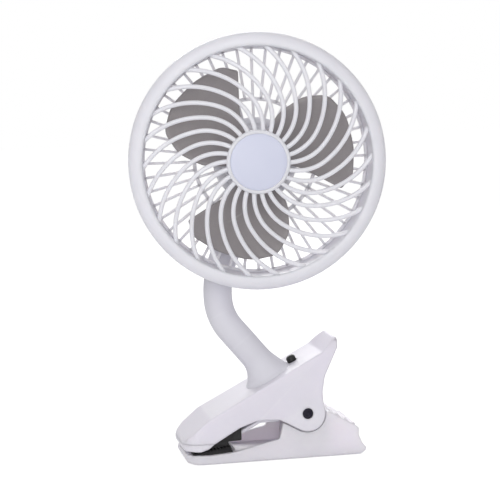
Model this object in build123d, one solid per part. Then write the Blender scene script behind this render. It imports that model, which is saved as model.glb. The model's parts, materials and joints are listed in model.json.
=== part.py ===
from build123d import *
import math
import os

# Clip fan: a caged fan head on a bendable neck that stands on, or is held by, a sprung clip.
# Sizes are in millimetres. X runs from the clip's nose (minus) to its squeeze lever, Z is up from the table,
# and the fan looks towards -Y. The origin lies on the table, straight below the middle of the jaw pivot.

# ---------------------------------------------------------------- fan head
ring_radius = 55.0          # outside of the front ring
ring_wall = 6.1             # how wide the front ring looks
ring_front = 7.5            # front ring, forwards of the split
ring_back = 2.0             # front ring, backwards of the split
ring_round = 4.0            # rounding of the ring's outer front edge
rim_step = 1.6              # the rear rim is this much smaller than the front ring
rim_taper = 2.4             # and gets this much smaller towards the back
rim_wall = 2.0
rear_depth = 14.0           # back face of the rear guard, behind the split
seat_width = 1.2            # thin edge ring of the front grille, let into the guard ring
seat_depth = 3.0
rear_seat_width = 1.6       # edge ring of the rear grille
grille_height = 5.6         # front of that edge ring, forwards of the split
rib_sink = 0.3              # the ribs meet it this far below its front
grille_rise = 3.2           # and dome by this much towards the middle
rib_count = 26
rib_width = 1.9
rib_depth = 2.2
rib_inner_bend = 0.358      # a rib leaves the hub straight out, bends tightly ...
rib_inner_turn = 53.0
rib_outer_bend = 0.633      # ... then more gently to the ring (both as shares of its radius)
rib_outer_turn = 48.0
rib_start = -3.0            # angle of the first rib at the hub
cap_radius = 12.0
cap_thickness = 1.6
cap_crown = 0.9
hub_ring_width = 1.6        # rim round the centre cap
hub_disc = 1.4              # web behind the centre cap
bar_width = 1.2
bar_depth = 1.8
outer_bar_count = 48
inner_bar_count = 24
middle_ring_radius = 26.3
middle_ring_width = 1.6
motor_plate_radius = 18.4   # round plate in the middle that carries the motor

# ---------------------------------------------------------------- motor and its pod
pod_radius = 17.6
pod_wall = 1.6
pod_back = 31.5             # back of the pod, behind the split
pod_round = 6.0
collar_radius = 8.2         # collar under the pod that takes the neck
collar_reach = 26.5         # collar's lower end, from the fan's axis
collar_roll = -10.6         # the collar leans along the neck
collar_level = -22.6        # middle of the collar, behind the split
motor_radius = 12.2
motor_length = 12.4
motor_round = 1.0
end_cap_length = 2.2
end_cap_radius = 9.0
boss_radius = 3.0           # front bearing boss of the motor
boss_length = 1.4
shaft_radius = 1.0
shaft_length = 14.4         # in front of the motor
shaft_clearance = 0.05
motor_screw_spread = 8.0    # from the fan's axis
pod_screw_spread = 14.6
pod_screw_length = 14.0
pod_boss_radius = 2.4
motor_screw_radius = 0.8
pod_screw_radius = 0.9
small_head_radius = 1.7
small_head_height = 1.0

# ---------------------------------------------------------------- blades
blade_count = 3
blade_corners = [           # the blade from the front, its middle line along X, with roundings
    (2.9, -0.9, 0),
    (16.9, -11.6, 18),
    (28.7, -26.6, 1.2),
    (35.6, -23.7, 6),
    (41.2, -12.5, 25),
    (43.5, 2.2, 18),
    (39.4, 13.1, 7),
    (29.2, 17.0, 12),
    (17.0, 15.0, 14),
    (7.9, 8.7, 6),
    (3.4, 3.0, 0),
]
blade_thickness = 2.4
blade_pitch = 13.0
blade_camber_radius = 75.0
blade_middle = -6.0         # height of the blade's middle line, from the split
blade_rest_angle = 22.2     # first blade's middle line in the photographed rest position
hub_radius = 8.2
hub_front = 2.6             # hub, forwards of the split
hub_back = 9.6              # and behind it
hub_round = 1.6

# ---------------------------------------------------------------- where the head stands
head_x = -17.7
head_y = -12.0
head_z = 128.9
head_turn = -6.0            # the head looks this far towards the nose side

# ---------------------------------------------------------------- neck
neck_radius = 6.3
neck_clearance = 0.3        # between a ball end and its cup
neck_swing = 25.0           # how far each joint bends
neck_points = [             # ball centres from the boot to the pod
    (-20.6, 0.0, 44.2),
    (-29.3, 2.6, 55.0),
    (-33.7, 7.6, 67.0),
    (-32.2, 10.9, 79.5),
    (-25.2, 11.6, 94.0),
]
neck_top = (-19.2, 11.3, 108.0)
boot_foot = (-14.2, 0.0, 34.2)
boot_angle = 116.4          # direction in which the neck leaves the clip
boot_radius = 9.4
boot_height = 9.8
boot_sink = 0.9             # the boot's foot is let into the clip
boot_shank_radius = 2.1     # and a thinner shank goes down between the cells
boot_shank_length = 8.0

# ---------------------------------------------------------------- clip
pivot_height = 19.0
clip_width = 35.0
ear_thickness = 2.5
ear_clearance = 0.3
lobe_radius = 7.7           # round end of the upper jaw's ears
pocket_clearance = 0.4      # between that round end and the lower jaw
nose_x = -54.7
seam_height = 8.6           # split between housing and battery cover at the nose
mouth_height = 5.7          # underside of the upper jaw at the nose
top_start = (-43.4, 18.95)  # the straight top of the housing runs up from here ...
top_end = (7.7, 45.2)       # ... to the foot of the squeeze fin
fin_top = 50.9
fin_half_width = 14.4       # at the fin's top
fin_corner = 4.5            # rounding of the fin's corners, seen from the front
fin_spare = 0.6             # how far the front outline's top edge lies above the fin
side_foot = 6.0             # the sides lean inwards above this height
nose_round = 9.0            # corners of the nose, seen from above
tail_round = 3.0
edge_round = 0.8            # long edges of the housing
wall = 2.0
pin_radius = 2.35
pin_clearance = 0.05
pin_recess = 0.3
pad_half_width = 15.3
pad_front = -50.6           # both grips begin here ...
pad_back = -33.2            # ... and the lower one ends here
pad_seat = 3.0              # floor of the lower grip
bite_low = 5.0              # where the grips meet, at their front
bite_high = 7.2             # and at their back
jaw_gap = 0.2               # between the two rubber grips
knuckle_radius = 6.4
knuckle_room = 0.8          # round the knuckles, in the upper jaw
web_half_width = 5.9        # the webs under the knuckles
knuckle_thickness = 4.2
lever_reach = 25.8
lever_tip_height = 11.6
heel_drop = 1.2             # the lever's heel dips by this much, to clear the opened upper jaw
lower_floor = 2.2
ridge_radius = 0.7
ridge_count = 3

# ---------------------------------------------------------------- battery bay
cell_radius = 5.25
cell_length = 43.3
cell_nub_radius = 1.9
cell_nub_length = 1.2
cell_spread = 8.2           # from the middle to each cell's axis
cell_tilt = 27.5
cell_foot = (-37.2, 15.0)   # x and z of the cells' lower end, on their axis
bay_clearance = 0.2
contact_thickness = 0.4
contact_gap = 2.4           # room for the contacts at the lower end
link_gap = 0.8              # and at the upper end
contact_size = 7.4
cover_half_width = 14.1
cover_clearance = 0.15
cover_thickness = 1.35
lip_end_x = -41.4           # the lip under the nose ends here
cover_low_x = -37.0         # the plate slopes from here ...
cover_high_x = -20.6        # ... to here, along the cells
cover_end_x = -12.6
screw_x = -16.4
screw_sunk = 0.5
screw_radius = 0.9
screw_head_radius = 1.9
screw_head_height = 0.9
screw_length = 3.4

# ---------------------------------------------------------------- button and switch
button_x = -3.0             # where the button's axis leaves the shoulder
button_radius = 2.15
button_proud = 1.5
button_length = 4.1
button_clearance = 0.08
button_travel = 1.0
switch_size = 4.5
switch_height = 3.2

# ---------------------------------------------------------------- torsion spring
wire_radius = 0.7
coil_radius = 3.8
coil_pitch = 1.95
coil_turns = 6
leg_up = 5.5
leg_along = 10.2


# ================================================================ helpers
def outline(corners):
    """A closed face from corners (x, y, rounding)."""
    line = FilletPolyline(
        [(x, y) for x, y, _ in corners],
        radius=[rounding for _, _, rounding in corners],
        close=True,
    )
    return make_face(line)


def side_slab(face, half_width, middle=0.0):
    """A side-view face, thickened to both sides of y = middle."""
    slab = extrude(Plane.XZ * face, amount=half_width, both=True)
    return Pos(0, middle, 0) * slab


def turned(corners):
    """A solid of revolution about Z from corners (radius, z, rounding)."""
    return revolve(Plane.XZ * outline(corners), Axis.Z)


def cross_cylinder(radius, half_width, x=0.0, z=pivot_height):
    """A cylinder across the clip."""
    return Pos(x, 0, z) * Rot(90, 0, 0) * Cylinder(radius, 2 * half_width)


def around(solid, count):
    """Copies of a solid, evenly spaced about Z."""
    return [Rot(0, 0, 360 * i / count) * solid for i in range(count)]


def placed(location, solids):
    """A group of solids, moved together."""
    return Compound([location * solid for solid in solids])


def one_solid(shape):
    """The largest solid of a shape."""
    return max(shape.solids(), key=lambda s: s.volume)


# ================================================================ fan head, in its own frame
# Here the fan's axis is Z, the front is +Z, +Y is up and z = 0 is the split between the two guards.
def rib_side(offset):
    """One flank of a front rib, as the two arcs of its middle line moved sideways."""
    inner_bend = rib_inner_bend * ring_radius
    outer_bend = rib_outer_bend * ring_radius
    first = JernArc((cap_radius, offset), (1, 0), inner_bend - offset, rib_inner_turn)
    second = JernArc(first @ 1, first % 1, outer_bend - offset, rib_outer_turn)
    return first, second


def front_rib():
    left = rib_side(rib_width / 2)
    right = rib_side(-rib_width / 2)
    ends = [Line(left[0] @ 0, right[0] @ 0), Line(left[1] @ 1, right[1] @ 1)]
    face = make_face([*left, *right, *ends])
    return Rot(0, 0, rib_start) * extrude(face, amount=ring_front + grille_rise)


def dome_shell():
    """The thin domed layer that the front ribs are cut from, up to the middle of the edge ring."""
    inner = ring_radius - ring_wall
    reach = inner + seat_width / 2
    sphere_radius = (inner**2 + grille_rise**2) / (2 * grille_rise)
    centre = grille_height - rib_sink + grille_rise - sphere_radius
    outer = Pos(0, 0, centre) * Sphere(sphere_radius)
    inner = Pos(0, 0, centre) * Sphere(sphere_radius - rib_depth)
    block = Pos(0, 0, grille_height) * Cylinder(reach, 4 * rib_depth + 2 * grille_rise)
    return (outer & block) - inner


def hub_height():
    """Top of the dome at the hub's rim."""
    inner = ring_radius - ring_wall
    return grille_height - rib_sink + grille_rise * (1 - (cap_radius / inner) ** 2)


def rear_seat_radius():
    """Inside of the guard ring at its back, where the rear grille's edge ring sits."""
    return ring_radius - rim_step - rim_taper - rim_wall + 0.2


def make_guard_ring():
    """The wide front ring and the rear rim behind it, open in the middle."""
    inner = ring_radius - ring_wall
    rim = ring_radius - rim_step
    seat = rear_seat_radius()
    return turned([
        (inner, grille_height, 0),
        (inner + seat_width, grille_height, 0),
        (inner + seat_width, -ring_back + 1.0, 0),
        (rim - rim_wall, -ring_back - 1.0, 0),
        (seat, -rear_depth + bar_depth, 0),
        (seat, -rear_depth, 0),
        (rim - rim_taper, -rear_depth, 1.2),
        (rim, -ring_back, 0),
        (ring_radius, -ring_back, 0.4),
        (ring_radius, ring_front, ring_round),
        (inner, ring_front - 1.0, 0.8),
    ])


def edge_ring(inner, outer, low, high):
    """A flat ring between two heights."""
    return turned([(inner, low, 0), (outer, low, 0), (outer, high, 0), (inner, high, 0)])


def make_front_grille():
    inner = ring_radius - ring_wall
    ring = edge_ring(inner, inner + seat_width, grille_height - seat_depth, grille_height)
    top = hub_height()
    hub = turned([
        (0, top - rib_depth - hub_disc, 0),
        (cap_radius + hub_ring_width, top - rib_depth - hub_disc, 0.6),
        (cap_radius + hub_ring_width, top + 0.3, 0.6),
        (cap_radius + 0.1, top + 0.3, 0),
        (cap_radius + 0.1, top - rib_depth, 0),
        (0, top - rib_depth, 0),
    ])
    dome = dome_shell()
    ribs = [rib & dome for rib in around(front_rib(), rib_count)]
    return one_solid(ring + ribs + hub)


def make_centre_cap():
    seat = hub_height() - rib_depth
    crown_radius = (cap_radius**2 + cap_crown**2) / (2 * cap_crown)
    top = seat + cap_thickness + cap_crown
    disc = Pos(0, 0, seat) * Cylinder(
        cap_radius, cap_thickness + cap_crown, align=(Align.CENTER, Align.CENTER, Align.MIN)
    )
    return disc & Pos(0, 0, top - crown_radius) * Sphere(crown_radius)


def rear_bar(inner, outer):
    """A straight bar of the rear guard along X."""
    length = outer - inner
    return Pos(inner + length / 2, 0, -rear_depth + bar_depth / 2) * Box(
        length, bar_width, bar_depth
    )


def make_rear_grille():
    back = -rear_depth
    front = back + bar_depth
    seat = rear_seat_radius()
    rim = edge_ring(seat - rear_seat_width, seat, back, front)
    middle = edge_ring(
        middle_ring_radius - middle_ring_width / 2,
        middle_ring_radius + middle_ring_width / 2,
        back,
        front,
    )
    plate = turned([
        (boss_radius + 0.2, back, 0),
        (motor_plate_radius, back, 0),
        (motor_plate_radius, front, 0.5),
        (boss_radius + 0.2, front, 0),
    ])
    long_bar = rear_bar(middle_ring_radius, seat - rear_seat_width / 2)
    short_bar = rear_bar(motor_plate_radius - 1, middle_ring_radius)
    bars = around(long_bar, outer_bar_count) + around(short_bar, inner_bar_count)
    body = rim + middle + plate + bars
    for spot in motor_screw_spots():
        body -= Pos(*spot, back) * Cylinder(motor_screw_radius, 4 * bar_depth)
    for spot in pod_screw_spots():
        body -= Pos(*spot, back) * Cylinder(pod_screw_radius, 4 * bar_depth)
    return one_solid(body)


def motor_screw_spots():
    """Where the motor's two screws are, from the front."""
    return [(motor_screw_spread, 0), (-motor_screw_spread, 0)]


def pod_screw_spots():
    """Where the pod's three screws are."""
    angles = [math.radians(90 + 120 * i) for i in range(3)]
    return [(pod_screw_spread * math.cos(a), pod_screw_spread * math.sin(a)) for a in angles]


def make_motor_cover():
    front = -rear_depth
    back = -pod_back
    shell = turned([
        (0, back, 0),
        (pod_radius, back, pod_round),
        (pod_radius, front, 0),
        (0, front, 0),
    ])
    collar = Pos(0, 0, collar_level) * Rot(0, 0, collar_roll) * Rot(90, 0, 0) * Cylinder(
        collar_radius, collar_reach, align=(Align.CENTER, Align.CENTER, Align.MIN)
    )
    hollow = turned([
        (0, back + pod_wall, 0),
        (pod_radius - pod_wall, back + pod_wall, pod_round - pod_wall),
        (pod_radius - pod_wall, front, 0),
        (0, front, 0),
    ])
    body = shell + collar - hollow
    depth = pod_back - rear_depth
    seat = front - pod_screw_length + bar_depth
    for spot in pod_screw_spots():
        boss = Pos(*spot, front) * Cylinder(
            pod_boss_radius, depth, align=(Align.CENTER, Align.CENTER, Align.MAX)
        )
        well = Pos(*spot, seat) * Cylinder(
            small_head_radius + 0.2, depth, align=(Align.CENTER, Align.CENTER, Align.MAX)
        )
        body += boss & shell
        body -= well + Pos(*spot, front) * Cylinder(pod_screw_radius, 2 * depth)
    return body


def make_cover_screws():
    seat = -rear_depth - pod_screw_length + bar_depth
    piece = Rot(180, 0, 0) * screw(
        small_head_radius, small_head_height, pod_screw_radius, pod_screw_length
    )
    return [Pos(*spot, seat) * piece for spot in pod_screw_spots()]


def make_motor_screws():
    piece = screw(small_head_radius, small_head_height, motor_screw_radius, bar_depth + 2.5)
    return [Pos(*spot, -rear_depth + bar_depth) * piece for spot in motor_screw_spots()]


def make_motor_can():
    front = -rear_depth
    back = front - motor_length
    can = turned([
        (0, back, 0),
        (motor_radius, back, motor_round),
        (motor_radius, front, motor_round),
        (boss_radius, front, 0),
        (boss_radius, front + boss_length, 0.3),
        (0, front + boss_length, 0),
    ])
    bore = Pos(0, 0, front - motor_length / 2 + boss_length) * Cylinder(
        shaft_radius + shaft_clearance, motor_length
    )
    for spot in motor_screw_spots():
        bore += Pos(*spot, front) * Cylinder(motor_screw_radius, 5.4)
    return can - bore


def make_motor_end_cap():
    back = -rear_depth - motor_length
    return turned([
        (0, back - end_cap_length, 0),
        (end_cap_radius, back - end_cap_length, 0.8),
        (end_cap_radius, back, 0),
        (0, back, 0),
    ])


def make_motor_shaft():
    length = shaft_length + motor_length / 2
    return Pos(0, 0, -rear_depth + shaft_length - length / 2) * Cylinder(shaft_radius, length)


def make_blade_hub():
    hub = turned([
        (0, -hub_back, 0),
        (hub_radius, -hub_back, hub_round),
        (hub_radius, hub_front, hub_round),
        (0, hub_front, 0),
    ])
    top = -rear_depth + shaft_length
    bore = Pos(0, 0, top) * Cylinder(
        shaft_radius, 2 * (hub_back + top), align=(Align.CENTER, Align.CENTER, Align.MAX)
    )
    return hub - bore


def make_blade():
    """One soft blade: a cambered sheet cut to the petal."""
    slope = math.radians(blade_pitch)
    centre_y = -math.sin(slope) * blade_camber_radius
    centre_z = blade_middle + math.cos(slope) * blade_camber_radius
    reach = 2 * ring_radius
    place = Pos(0, centre_y, centre_z) * Rot(0, 90, 0)
    outer = place * Cylinder(blade_camber_radius + blade_thickness / 2, reach)
    inner = place * Cylinder(blade_camber_radius - blade_thickness / 2, reach)
    depth = ring_front + rear_depth
    prism = Pos(0, 0, -rear_depth) * extrude(outline(blade_corners), amount=depth)
    return (prism & outer) - inner


def blade_set():
    """The three blades at rest, cut clear of the hub that carries them."""
    hub = Cylinder(hub_radius, 4 * hub_back)
    blade = one_solid(make_blade() - hub)
    return [Rot(0, 0, blade_rest_angle + 360 * i / blade_count) * blade for i in range(blade_count)]


def screw(head_radius, head_height, shank_radius, length):
    """A pan-head screw along Z, its head's seat at z = 0 and its shank below."""
    head = Cylinder(head_radius, head_height, align=(Align.CENTER, Align.CENTER, Align.MIN))
    shank = Cylinder(shank_radius, length, align=(Align.CENTER, Align.CENTER, Align.MAX))
    bar = Pos(0, 0, head_height) * Box(1.3 * head_radius, 0.3 * head_radius, 0.9)
    return head + shank - bar - Rot(0, 0, 90) * bar


# ================================================================ neck
def neck_arcs():
    """The neck's middle line: one arc from each ball to the next, each starting along the one before."""
    lean = math.radians(boot_angle)
    heading = Vector(math.cos(lean), 0, math.sin(lean))
    arcs = []
    start = Vector(*boot_foot)
    for point in [*neck_points, neck_top]:
        arc = TangentArc(start, point, tangent=heading)
        arcs.append(arc)
        heading = arc % 1
        start = Vector(*point)
    return arcs


def tube(arc, radius):
    """A round bar along an arc."""
    plane = Plane(origin=arc @ 0, z_dir=arc % 0)
    return sweep(plane * Circle(radius), path=arc)


def cup_cut(arc):
    """What is cut away at the start of a stretch: the ball of the one before, and room for it to bend."""
    rim = (neck_radius + neck_clearance) * math.sin(math.radians(neck_swing)) + neck_clearance
    plane = Plane(origin=arc @ 0, z_dir=arc % 0)
    size = 4 * neck_radius
    room = plane.location * Box(size, size, size, align=(Align.CENTER, Align.CENTER, Align.MAX))
    room = Pos(*((arc % 0) * rim)) * room
    ball = Pos(*(arc @ 0)) * Sphere(neck_radius + neck_clearance)
    return ball, room


def make_neck_link(arc):
    ball, room = cup_cut(arc)
    bar = tube(arc, neck_radius) + Pos(*(arc @ 1)) * Sphere(neck_radius)
    return one_solid(bar - ball - room)


def make_neck_ferrule(arc):
    ball, room = cup_cut(arc)
    return one_solid(tube(arc, neck_radius) - ball - room)


def make_neck_boot(arc):
    """The flared foot of the neck, up to its first ball."""
    foot = Plane(origin=arc @ 0, z_dir=arc % 0).location
    flare = foot * Pos(0, 0, -boot_sink) * Cone(
        boot_radius, neck_radius, boot_height, align=(Align.CENTER, Align.CENTER, Align.MIN)
    )
    shank = foot * Cylinder(
        boot_shank_radius, boot_shank_length, align=(Align.CENTER, Align.CENTER, Align.MAX)
    )
    bar = tube(arc, neck_radius) + Pos(*(arc @ 1)) * Sphere(neck_radius)
    return flare + bar + shank


# ================================================================ clip
def half_at(height):
    """Half the clip's width at a height: the sides lean inwards above their foot."""
    half = clip_width / 2
    lean = (half - fin_half_width) / (fin_top - side_foot)
    return half - lean * max(height - side_foot, 0)


def front_envelope():
    """The clip's form seen from the front."""
    half = clip_width / 2
    face = outline([
        (-half, -1, 0),
        (half, -1, 0),
        (half, side_foot, 0),
        (fin_half_width, fin_top + fin_spare, fin_corner),
        (-fin_half_width, fin_top + fin_spare, fin_corner),
        (-half, side_foot, 0),
    ])
    return extrude(Plane.YZ * face, amount=lever_reach - nose_x, both=True)


def plan_envelope():
    """The clip's form seen from above."""
    half = clip_width / 2
    face = outline([
        (nose_x, -half, nose_round),
        (lever_reach + 1, -half, tail_round),
        (lever_reach + 1, half, tail_round),
        (nose_x, half, nose_round),
    ])
    return Pos(0, 0, -1) * extrude(face, amount=fin_top + 2)


def top_slope():
    """How steeply the housing's top rises, in degrees."""
    return math.degrees(math.atan2(top_end[1] - top_start[1], top_end[0] - top_start[0]))


def top_level(x):
    """Height of the housing's straight top."""
    return top_start[1] + (x - top_start[0]) * math.tan(math.radians(top_slope()))


def upper_side():
    """Side view of the housing, without the round ends of its ears."""
    return outline([
        (nose_x, seam_height, 0),
        (nose_x + 1.0, 10.2, 2.4),
        (*top_start, 14),
        (*top_end, 5),
        (13.6, fin_top, 0.85),
        (15.0, fin_top, 0.85),
        (14.4, 46.9, 3),
        (8.2, 34.4, 10),
        (7.0, 28.0, 8),
        (7.3, pivot_height, 0),
        (0, pivot_height - lobe_radius, 0),
        (-3.3, 12.05, 0),
        (-12.4, 17.1, 4),
        (-21.7, 17.6, 10),
        (-30.0, 14.9, 12),
        (lip_end_x, seam_height, 0),
    ])


def sharp_edges(body):
    """Long edges between the housing's outline and its sides, above its underside."""
    faces_at = {}
    for face in body.faces():
        for edge in face.edges():
            faces_at.setdefault(hash(edge), []).append((face, edge))
    chosen = []
    for pairs in faces_at.values():
        if len(pairs) < 2:
            continue
        edge = pairs[0][1]
        middle = edge @ 0.5
        normals = [face.normal_at(middle) for face, _ in pairs[:2]]
        outward = [n for n in normals if abs(n.Y) < 0.01]
        on_side = abs(middle.Y) > 7 and edge.bounding_box().size.Y < 20
        above = middle.Z > (30 if middle.X > 6 else seam_height + 0.2)
        if not outward or not on_side or not above:
            continue
        below = middle.X < 6 and middle.Z < 30 and outward[0].Z < 0.05 and middle.X > pad_front
        if normals[0].get_angle(normals[1]) > 25 and not below:
            chosen.append(edge)
    return chosen


def make_housing():
    """The upper jaw's outer form, with its long edges rounded."""
    half = clip_width / 2
    body = side_slab(upper_side(), half) + cross_cylinder(lobe_radius, half)
    body = body & front_envelope()
    body = fillet(sharp_edges(body), edge_round)
    return body & plan_envelope()


def cell_frame(slide=0.0, side=0.0):
    """Where the cells lie: x across, y along the bay's depth, z up along a cell's axis."""
    tilt = math.radians(cell_tilt)
    x, z = cell_foot
    origin = (x + slide * math.cos(tilt), side, z + slide * math.sin(tilt))
    return Plane(origin=origin, x_dir=(0, 1, 0), z_dir=(math.cos(tilt), 0, math.sin(tilt)))


def cell_room():
    """The two round troughs that take the cells and their contacts."""
    length = contact_gap + cell_length + cell_nub_length + link_gap
    trough = Cylinder(
        cell_radius + bay_clearance, length, align=(Align.CENTER, Align.CENTER, Align.MIN)
    )
    return [cell_frame(-contact_gap, side).location * trough for side in (-cell_spread, cell_spread)]


def cover_level(x):
    """Upper face of the battery cover's plate, where it slopes along the cells."""
    tilt = math.radians(cell_tilt)
    drop = (cell_radius + bay_clearance) / math.cos(tilt)
    return cell_foot[1] - drop + math.tan(tilt) * (x - cell_foot[0])


def cover_line():
    """Corners of the battery cover's plate seen from the side, from the tongue over the lip."""
    depth = cover_thickness / math.cos(math.radians(cell_tilt))
    low = cover_level(cover_low_x)
    high = cover_level(cover_high_x)
    return [
        (lip_end_x - 5.0, seam_height - 1.4, 0),
        (lip_end_x - 1.6, seam_height - 1.2, 0),
        (cover_low_x, low - depth, 2),
        (cover_high_x, high - depth, 3),
        (cover_end_x, high - depth, 0.4),
        (cover_end_x, high, 0),
        (cover_high_x, high, 3),
        (cover_low_x, low, 0.3),
        (cover_low_x - 0.2, seam_height + 1.2, 0),
        (lip_end_x - 5.0, seam_height + 1.2, 0),
    ]


def lip_line():
    """Side view of the battery cover's full-width lip at the nose."""
    return [
        (nose_x, mouth_height, 2.0),
        (nose_x, seam_height, 0),
        (lip_end_x, seam_height, 0),
        (lip_end_x - 2.4, mouth_height + 1.0, 2),
        (-47.5, mouth_height - 0.2, 3),
    ]


def make_battery_cover():
    """Underside of the upper jaw: a full-width lip at the nose and a plate under the cells."""
    front = side_slab(outline(lip_line()), clip_width) & front_envelope() & plan_envelope()
    body = front + side_slab(outline(cover_line()), cover_half_width)
    under = cover_line()[3][1]
    bore = Pos(screw_x, 0, under) * Cylinder(screw_radius, 4 * cover_thickness)
    well = Pos(screw_x, 0, under) * Cylinder(screw_head_radius + 0.15, 2 * screw_sunk)
    return body - bore - well


def make_cover_screw():
    seat = cover_line()[3][1] + screw_sunk
    piece = screw(screw_head_radius, screw_head_height, screw_radius, screw_length)
    return Pos(screw_x, 0, seat) * Rot(180, 0, 0) * piece


def make_cell(side, flip):
    """One cell; flip puts its positive end at the bottom."""
    body = Cylinder(cell_radius, cell_length, align=(Align.CENTER, Align.CENTER, Align.MIN))
    body = chamfer(body.edges().filter_by(GeomType.CIRCLE), 0.35)
    nub = Pos(0, 0, cell_length) * Cylinder(
        cell_nub_radius, cell_nub_length, align=(Align.CENTER, Align.CENTER, Align.MIN)
    )
    cell = body + nub
    if flip:
        cell = Pos(0, 0, cell_length + cell_nub_length) * Rot(180, 0, 0) * cell
    return cell_frame(0, side).location * cell


def make_battery_contacts():
    """Two sprung contacts at the cells' lower ends."""
    plate = Pos(0, 0, -contact_gap) * Box(
        contact_size, contact_size, contact_thickness, align=(Align.CENTER, Align.CENTER, Align.MIN)
    )
    bump = Pos(0, 0, -contact_gap + contact_thickness) * Cone(
        2.8, 1.5, contact_gap - contact_thickness, align=(Align.CENTER, Align.CENTER, Align.MIN)
    )
    return [cell_frame(0, side).location * (plate + bump) for side in (-cell_spread, cell_spread)]


def link_box(clearance):
    """The strip that joins the cells' upper ends."""
    top = cell_length + cell_nub_length
    return cell_frame(top).location * Box(
        2 * cell_spread + contact_size + 2 * clearance,
        contact_size + 2 * clearance,
        contact_thickness + clearance,
        align=(Align.CENTER, Align.CENTER, Align.MIN),
    )


def switch_frame(depth=0.0):
    """The button's axis: origin on the shoulder, or that far below it, z pointing out."""
    lean = math.radians(top_slope())
    normal = Vector(-math.sin(lean), 0, math.cos(lean))
    origin = Vector(button_x, 0, top_level(button_x)) - normal * depth
    return Plane(origin=origin, x_dir=(0, 1, 0), z_dir=normal)


def make_power_button():
    body = Cylinder(button_radius, button_length, align=(Align.CENTER, Align.CENTER, Align.MAX))
    body = chamfer(body.edges().group_by(Axis.Z)[-1], 0.4)
    return switch_frame(-button_proud).location * body


def switch_depth():
    """How far below the shoulder the top of the switch lies."""
    return button_length - button_proud + button_travel + 0.1


def make_switch_body(clearance=0.0):
    size = switch_size + 2 * clearance
    return switch_frame(switch_depth()).location * Box(
        size, size, switch_height + clearance, align=(Align.CENTER, Align.CENTER, Align.MAX)
    )


def make_upper_jaw(boot):
    half = clip_width / 2
    ear_half = half - ear_thickness - ear_clearance
    body = make_housing()
    body -= side_slab(outline(cover_line()), cover_half_width + cover_clearance)
    body -= cell_room()
    body -= link_box(link_gap - contact_thickness)
    body -= cross_cylinder(knuckle_radius + knuckle_room, ear_half)
    open_foot = Pos(0, 0, pivot_height) * Box(
        2 * lobe_radius + 1.0, 2 * ear_half, 2 * lobe_radius + 1.0,
        align=(Align.CENTER, Align.CENTER, Align.MAX),
    )
    body -= open_foot
    body -= cross_cylinder(pin_radius + pin_clearance, half)
    body -= boot
    button_bore = switch_frame(switch_depth()).location * Cylinder(
        button_radius + button_clearance, 12, align=(Align.CENTER, Align.CENTER, Align.MIN)
    )
    body -= button_bore
    body -= make_switch_body(0.1)
    seat = cover_line()[3][1] + screw_sunk
    body -= Pos(screw_x, 0, seat) * Cylinder(screw_radius, 2 * screw_length)
    return one_solid(body)


def pad_side():
    """Side view of the upper grip: its ribbed underside, then up to the jaw that holds it."""
    return outline([
        (pad_front, mouth_height + 1.0, 0),
        (pad_front, bite_low, 0),
        (-34.8, bite_high, 0),
        (-35.2, 9.0, 0.3),
        (-29.3, 9.2, 0.6),
        (-29.3, 15.0, 0),
        (lip_end_x, seam_height, 0),
    ])


def make_upper_pad():
    """Rubber grip of the upper jaw, wrapped round the sides of the battery cover."""
    under = [corner for corner in cover_line()[:4]]
    above = outline([*under, (cover_high_x, 30, 0), (lip_end_x - 5.0, 30, 0)])
    body = side_slab(pad_side(), pad_half_width)
    body -= side_slab(above, cover_half_width)
    body -= side_slab(outline(lip_line()), clip_width)
    body -= side_slab(upper_side(), clip_width)
    return one_solid(body)


def make_lower_pad():
    face = outline([
        (pad_front, pad_seat, 0),
        (pad_front, bite_low - jaw_gap, 0),
        (pad_back - 1.0, bite_high - jaw_gap, 0.4),
        (pad_back, pad_seat + 1.0, 0),
        (pad_back, pad_seat, 0),
    ])
    return side_slab(face, pad_half_width)


def lower_side():
    return outline([
        (nose_x + 1.0, 4.0, 1.2),
        (nose_x + 1.6, 0.8, 1.2),
        (nose_x + 5.2, 0, 4),
        (22.6, 0, 1),
        (lever_reach, 2.0, 1.2),
        (23.4, 5.0, 1.5),
        (22.0, 8.5, 2),
        (22.2, lever_tip_height, 1.0),
        (9.4, 19.4, 1.5),
        (7.0, pivot_height - heel_drop, 0),
        (-4.0, 14.0, 0),
        (-10.9, 15.8, 0),
        (-12.9, 8.8, 1.5),
        (-33.0, 4.4, 6),
        (-43.0, 3.7, 6),
    ])


def make_lower_jaw():
    half = clip_width / 2
    body = side_slab(lower_side(), half) & front_envelope() & plan_envelope()
    body -= cross_cylinder(lobe_radius + pocket_clearance, half)
    teardrop = outline([
        (0, pivot_height - lobe_radius - pocket_clearance, 0),
        (-3.5, 11.5, 0),
        (-14.0, 17.4, 0),
        (0, pivot_height, 0),
    ])
    body -= side_slab(teardrop, half)
    channel = outline([
        (-31.5, lower_floor, 1),
        (8.2, lower_floor, 1),
        (8.2, pivot_height + 4, 0),
        (-31.5, pivot_height + 4, 0),
    ])
    body -= side_slab(channel, half - ear_thickness)
    knuckle_face = outline([
        (-web_half_width, pivot_height, 0),
        (-web_half_width - 1.5, lower_floor - 1, 0),
        (web_half_width, lower_floor - 1, 0),
        (web_half_width, pivot_height, 0),
    ])
    knuckle_middle = half - ear_thickness - 2 * ear_clearance - knuckle_thickness / 2
    for side in (-1, 1):
        web = side_slab(knuckle_face, knuckle_thickness / 2, side * knuckle_middle)
        eye = Pos(0, side * knuckle_middle, 0) * cross_cylinder(knuckle_radius, knuckle_thickness / 2)
        body += web + eye
    body -= cross_cylinder(pin_radius + pin_clearance, half)
    body -= side_slab(lower_pad_seat(), pad_half_width)
    leg_slot = Pos(8, -coil_start(), pivot_height - coil_radius) * Box(
        2 * (leg_along - 7.6), 2 * wire_radius + 0.6, 2 * wire_radius + 0.2
    )
    body -= leg_slot
    return one_solid(body + make_lever_ridges())


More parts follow.
